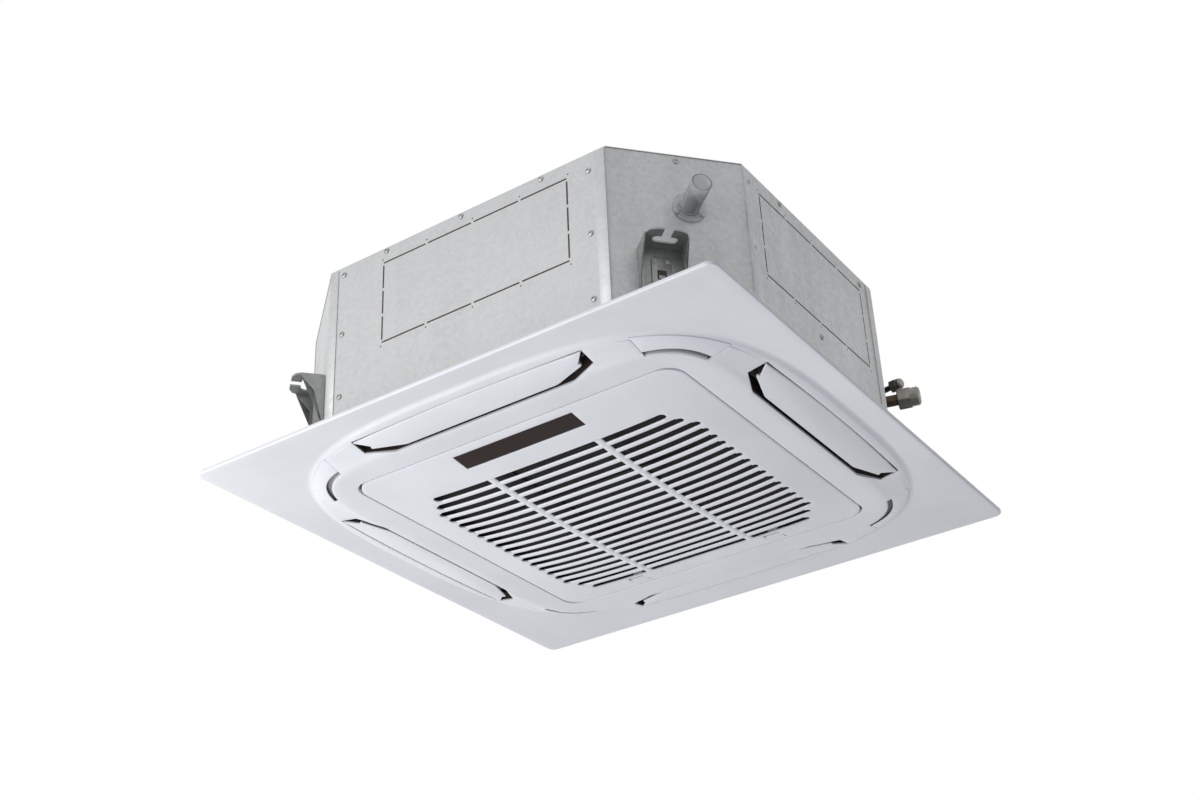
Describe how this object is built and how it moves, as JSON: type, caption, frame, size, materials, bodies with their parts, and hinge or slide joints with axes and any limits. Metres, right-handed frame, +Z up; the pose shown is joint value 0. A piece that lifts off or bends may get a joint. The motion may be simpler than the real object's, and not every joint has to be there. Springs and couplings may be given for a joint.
{
  "type": "ceiling cassette air conditioner",
  "caption": "Square ceiling cassette air conditioner with a domed slatted intake grille, four air flaps, corner covers and a chamfered sheet-metal casing on hanging brackets",
  "frame": {"origin": "middle of the unit in the ceiling plane, level with the panel's rim", "axes": "+Z up, with the casing above the ceiling plane and the panel below it; -Y towards the side with the display window and the grille's hinges; slats along X"},
  "size_m": [0.95, 0.95, 0.3489],
  "materials": {
    "white_plastic": "satin",
    "galvanised_sheet": "galvanised",
    "bracket_steel": "galvanised, darker",
    "smoky_plastic": "clear, smoky",
    "dark_window": "polished, dark",
    "black_plastic": "moulded",
    "dark_foam": "closed-cell foam",
    "white_foam": "expanded foam",
    "copper": "drawn tube",
    "nut_metal": "dull plated",
    "coil_fins": "fins",
    "motor_metal": "pressed can",
    "wheel_plastic": "moulded",
    "net_cloth": "fine net",
    "circuit_board": "printed board",
    "clear_plastic": "natural"
  },
  "bodies": {
    "casing": {"top_plate": "galvanised_sheet", "side_plate_front": "galvanised_sheet", "side_plate_right": "galvanised_sheet", "side_plate_back": "galvanised_sheet", "side_plate_left": "galvanised_sheet", "corner_plate_near": "galvanised_sheet", "corner_plate_pipe": "galvanised_sheet", "corner_plate_back": "galvanised_sheet", "corner_plate_left": "galvanised_sheet", "hanger_near": "bracket_steel", "hanger_pipe": "bracket_steel", "hanger_back": "bracket_steel", "hanger_left": "bracket_steel", "drain_socket": "smoky_plastic", "drain_hose": "clear_plastic", "gas_pipe": "copper", "liquid_pipe": "copper", "gas_nut": "nut_metal", "liquid_nut": "nut_metal", "pipe_seal": "black_plastic", "insulation_liner": "white_foam", "heat_exchanger": "coil_fins", "coil_end_right": "coil_fins", "coil_end_back": "coil_fins", "drain_pan": "white_foam", "bell_mouth": "black_plastic", "control_box": "galvanised_sheet", "control_cover": "galvanised_sheet", "control_board": "circuit_board", "fan_motor": "motor_metal", "drain_pump": "clear_plastic", "float_guide": "clear_plastic", "panel_frame": "white_plastic", "corner_cover_1": "white_plastic", "corner_cover_2": "white_plastic", "corner_cover_3": "white_plastic", "corner_cover_4": "white_plastic", "flap_motor_front": "black_plastic", "flap_motor_right": "black_plastic", "flap_motor_back": "black_plastic", "flap_motor_left": "black_plastic", "panel_seal": "dark_foam"},
    "grille_door": {"intake_grille": "white_plastic", "display_window": "dark_window", "display_board": "circuit_board", "filter_frame": "black_plastic", "filter_net": "net_cloth"},
    "latch_left": {"latch_left": "white_plastic"},
    "latch_right": {"latch_right": "white_plastic"},
    "fan": {"motor_shaft": "motor_metal", "fan_wheel": "wheel_plastic", "fan_nut": "nut_metal"},
    "pump_rotor": {"pump_impeller": "clear_plastic"},
    "level_float": {"water_float": "clear_plastic"},
    "flap_front": {"flap_front": "white_plastic"},
    "flap_right": {"flap_right": "white_plastic"},
    "flap_back": {"flap_back": "white_plastic"},
    "flap_left": {"flap_left": "white_plastic"}
  },
  "joints": [
    {"name": "grille_hinge", "type": "hinge", "parent": "casing", "child": "grille_door", "pos_m": [0, -0.294, -0.0116], "axis": [-1, 0, 0], "range_deg": [0, 90]},
    {"name": "latch_left_slide", "type": "slide", "parent": "grille_door", "child": "latch_left", "axis": [0, -1, 0], "range_m": [0, 0.007]},
    {"name": "latch_right_slide", "type": "slide", "parent": "grille_door", "child": "latch_right", "axis": [0, -1, 0], "range_m": [0, 0.007]},
    {"name": "fan_spin", "type": "hinge", "parent": "casing", "child": "fan", "pos_m": [0, 0, 0.2], "axis": [0, 0, 1], "continuous": true},
    {"name": "pump_spin", "type": "hinge", "parent": "casing", "child": "pump_rotor", "pos_m": [0.323, -0.323, 0.09], "axis": [0, 0, 1], "continuous": true},
    {"name": "float_lift", "type": "slide", "parent": "casing", "child": "level_float", "axis": [0, 0, 1], "range_m": [0, 0.012]},
    {"name": "flap_front_hinge", "type": "hinge", "parent": "casing", "child": "flap_front", "pos_m": [0, -0.385, 0.003], "axis": [1, 0, 0], "range_deg": [0, 65]},
    {"name": "flap_right_hinge", "type": "hinge", "parent": "casing", "child": "flap_right", "pos_m": [0.385, 0, 0.003], "axis": [0, 1, 0], "range_deg": [0, 65]},
    {"name": "flap_back_hinge", "type": "hinge", "parent": "casing", "child": "flap_back", "pos_m": [0, 0.385, 0.003], "axis": [-1, 0, 0], "range_deg": [0, 65]},
    {"name": "flap_left_hinge", "type": "hinge", "parent": "casing", "child": "flap_left", "pos_m": [-0.385, 0, 0.003], "axis": [0, -1, 0], "range_deg": [0, 65]}
  ]
}
